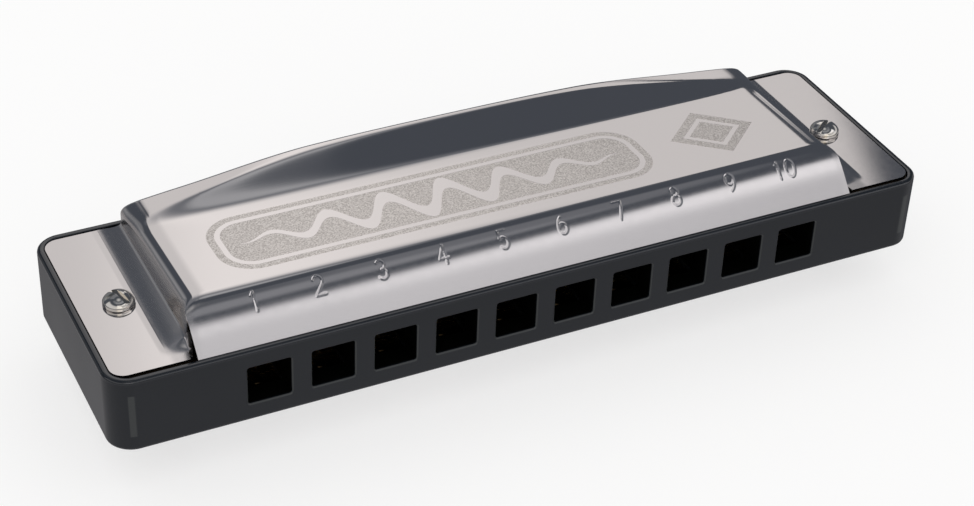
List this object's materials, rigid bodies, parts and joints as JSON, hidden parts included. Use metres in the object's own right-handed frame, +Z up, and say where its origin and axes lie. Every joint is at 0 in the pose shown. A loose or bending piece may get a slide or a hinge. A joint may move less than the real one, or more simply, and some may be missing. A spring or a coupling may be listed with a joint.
{
  "type": "harmonica",
  "caption": "Diatonic harmonica: dark moulded comb with a row of square mouth holes, polished pressed-steel covers with a raised rear arch, and free reeds on recessed brass plates.",
  "frame": {"origin": "the middle of the comb, which is also the middle of the whole harmonica's box", "axes": "+X along the harmonica from hole 1 (lowest note) to hole 10, +Y from the mouth side to the open rear, +Z up through the numbered cover"},
  "size_m": [0.102, 0.029, 0.02],
  "materials": {
    "comb_plastic": "satin black moulded ABS with a faint blue cast, its raised rim polished",
    "cover_steel": "mirror-polished stainless sheet with a matt etched panel and stamped hole numbers",
    "plate_brass": "milled brass sheet with fine straight grain",
    "reed_brass": "filed reed brass with grain across the tongue",
    "rivet_brass": "turned brass",
    "fastener_steel": "bright nickel-plated steel with turning marks"
  },
  "bodies": {
    "harmonica_body": {"comb": "comb_plastic", "upper_reed_plate": "plate_brass", "lower_reed_plate": "plate_brass", "upper_cover": "cover_steel", "lower_cover": "cover_steel", "cover_screw_left": "fastener_steel", "cover_screw_right": "fastener_steel", "cover_nut_left": "fastener_steel", "cover_nut_right": "fastener_steel", "blow_rivet_1": "rivet_brass", "blow_rivet_2": "rivet_brass", "blow_rivet_3": "rivet_brass", "blow_rivet_4": "rivet_brass", "blow_rivet_5": "rivet_brass", "blow_rivet_6": "rivet_brass", "blow_rivet_7": "rivet_brass", "blow_rivet_8": "rivet_brass", "blow_rivet_9": "rivet_brass", "blow_rivet_10": "rivet_brass", "draw_rivet_1": "rivet_brass", "draw_rivet_2": "rivet_brass", "draw_rivet_3": "rivet_brass", "draw_rivet_4": "rivet_brass", "draw_rivet_5": "rivet_brass", "draw_rivet_6": "rivet_brass", "draw_rivet_7": "rivet_brass", "draw_rivet_8": "rivet_brass", "draw_rivet_9": "rivet_brass", "draw_rivet_10": "rivet_brass", "upper_plate_screw_1": "fastener_steel", "upper_plate_screw_2": "fastener_steel", "upper_plate_screw_3": "fastener_steel", "upper_plate_screw_4": "fastener_steel", "upper_plate_screw_5": "fastener_steel", "lower_plate_screw_1": "fastener_steel", "lower_plate_screw_2": "fastener_steel", "lower_plate_screw_3": "fastener_steel", "lower_plate_screw_4": "fastener_steel", "lower_plate_screw_5": "fastener_steel"},
    "blow_reed_1": {"blow_reed_1": "reed_brass"},
    "blow_reed_2": {"blow_reed_2": "reed_brass"},
    "blow_reed_3": {"blow_reed_3": "reed_brass"},
    "blow_reed_4": {"blow_reed_4": "reed_brass"},
    "blow_reed_5": {"blow_reed_5": "reed_brass"},
    "blow_reed_6": {"blow_reed_6": "reed_brass"},
    "blow_reed_7": {"blow_reed_7": "reed_brass"},
    "blow_reed_8": {"blow_reed_8": "reed_brass"},
    "blow_reed_9": {"blow_reed_9": "reed_brass"},
    "blow_reed_10": {"blow_reed_10": "reed_brass"},
    "draw_reed_1": {"draw_reed_1": "reed_brass"},
    "draw_reed_2": {"draw_reed_2": "reed_brass"},
    "draw_reed_3": {"draw_reed_3": "reed_brass"},
    "draw_reed_4": {"draw_reed_4": "reed_brass"},
    "draw_reed_5": {"draw_reed_5": "reed_brass"},
    "draw_reed_6": {"draw_reed_6": "reed_brass"},
    "draw_reed_7": {"draw_reed_7": "reed_brass"},
    "draw_reed_8": {"draw_reed_8": "reed_brass"},
    "draw_reed_9": {"draw_reed_9": "reed_brass"},
    "draw_reed_10": {"draw_reed_10": "reed_brass"}
  },
  "joints": [
    {"name": "blow_reed_1_swing", "type": "hinge", "parent": "harmonica_body", "child": "blow_reed_1", "pos_m": [-0.0333, 0.0069, 0.00296], "axis": [1, 0, 0], "range_deg": [-3, 3], "stiffness_Nm_per_rad": 0.00077},
    {"name": "blow_reed_2_swing", "type": "hinge", "parent": "harmonica_body", "child": "blow_reed_2", "pos_m": [-0.0259, 0.00624, 0.00296], "axis": [1, 0, 0], "range_deg": [-3, 3], "stiffness_Nm_per_rad": 0.00067},
    {"name": "blow_reed_3_swing", "type": "hinge", "parent": "harmonica_body", "child": "blow_reed_3", "pos_m": [-0.0185, 0.00559, 0.00296], "axis": [1, 0, 0], "range_deg": [-3, 3], "stiffness_Nm_per_rad": 0.00059},
    {"name": "blow_reed_4_swing", "type": "hinge", "parent": "harmonica_body", "child": "blow_reed_4", "pos_m": [-0.0111, 0.00493, 0.00296], "axis": [1, 0, 0], "range_deg": [-3, 3], "stiffness_Nm_per_rad": 0.00051},
    {"name": "blow_reed_5_swing", "type": "hinge", "parent": "harmonica_body", "child": "blow_reed_5", "pos_m": [-0.0037, 0.00428, 0.00296], "axis": [1, 0, 0], "range_deg": [-3, 3], "stiffness_Nm_per_rad": 0.00043},
    {"name": "blow_reed_6_swing", "type": "hinge", "parent": "harmonica_body", "child": "blow_reed_6", "pos_m": [0.0037, 0.00362, 0.00296], "axis": [1, 0, 0], "range_deg": [-3, 3], "stiffness_Nm_per_rad": 0.00037},
    {"name": "blow_reed_7_swing", "type": "hinge", "parent": "harmonica_body", "child": "blow_reed_7", "pos_m": [0.0111, 0.00297, 0.00296], "axis": [1, 0, 0], "range_deg": [-3, 3], "stiffness_Nm_per_rad": 0.00031},
    {"name": "blow_reed_8_swing", "type": "hinge", "parent": "harmonica_body", "child": "blow_reed_8", "pos_m": [0.0185, 0.00231, 0.00296], "axis": [1, 0, 0], "range_deg": [-3, 3], "stiffness_Nm_per_rad": 0.00026},
    {"name": "blow_reed_9_swing", "type": "hinge", "parent": "harmonica_body", "child": "blow_reed_9", "pos_m": [0.0259, 0.00166, 0.00296], "axis": [1, 0, 0], "range_deg": [-3, 3], "stiffness_Nm_per_rad": 0.00022},
    {"name": "blow_reed_10_swing", "type": "hinge", "parent": "harmonica_body", "child": "blow_reed_10", "pos_m": [0.0333, 0.001, 0.00296], "axis": [1, 0, 0], "range_deg": [-3, 3], "stiffness_Nm_per_rad": 0.00018},
    {"name": "draw_reed_1_swing", "type": "hinge", "parent": "harmonica_body", "child": "draw_reed_1", "pos_m": [-0.0333, -0.0099, -0.00441], "axis": [1, 0, 0], "range_deg": [-3, 3], "stiffness_Nm_per_rad": 0.00077},
    {"name": "draw_reed_2_swing", "type": "hinge", "parent": "harmonica_body", "child": "draw_reed_2", "pos_m": [-0.0259, -0.0099, -0.00441], "axis": [1, 0, 0], "range_deg": [-3, 3], "stiffness_Nm_per_rad": 0.00067},
    {"name": "draw_reed_3_swing", "type": "hinge", "parent": "harmonica_body", "child": "draw_reed_3", "pos_m": [-0.0185, -0.0099, -0.00441], "axis": [1, 0, 0], "range_deg": [-3, 3], "stiffness_Nm_per_rad": 0.00059},
    {"name": "draw_reed_4_swing", "type": "hinge", "parent": "harmonica_body", "child": "draw_reed_4", "pos_m": [-0.0111, -0.0099, -0.00441], "axis": [1, 0, 0], "range_deg": [-3, 3], "stiffness_Nm_per_rad": 0.00051},
    {"name": "draw_reed_5_swing", "type": "hinge", "parent": "harmonica_body", "child": "draw_reed_5", "pos_m": [-0.0037, -0.0099, -0.00441], "axis": [1, 0, 0], "range_deg": [-3, 3], "stiffness_Nm_per_rad": 0.00043},
    {"name": "draw_reed_6_swing", "type": "hinge", "parent": "harmonica_body", "child": "draw_reed_6", "pos_m": [0.0037, -0.0099, -0.00441], "axis": [1, 0, 0], "range_deg": [-3, 3], "stiffness_Nm_per_rad": 0.00037},
    {"name": "draw_reed_7_swing", "type": "hinge", "parent": "harmonica_body", "child": "draw_reed_7", "pos_m": [0.0111, -0.0099, -0.00441], "axis": [1, 0, 0], "range_deg": [-3, 3], "stiffness_Nm_per_rad": 0.00031},
    {"name": "draw_reed_8_swing", "type": "hinge", "parent": "harmonica_body", "child": "draw_reed_8", "pos_m": [0.0185, -0.0099, -0.00441], "axis": [1, 0, 0], "range_deg": [-3, 3], "stiffness_Nm_per_rad": 0.00026},
    {"name": "draw_reed_9_swing", "type": "hinge", "parent": "harmonica_body", "child": "draw_reed_9", "pos_m": [0.0259, -0.0099, -0.00441], "axis": [1, 0, 0], "range_deg": [-3, 3], "stiffness_Nm_per_rad": 0.00022},
    {"name": "draw_reed_10_swing", "type": "hinge", "parent": "harmonica_body", "child": "draw_reed_10", "pos_m": [0.0333, -0.0099, -0.00441], "axis": [1, 0, 0], "range_deg": [-3, 3], "stiffness_Nm_per_rad": 0.00018}
  ]
}
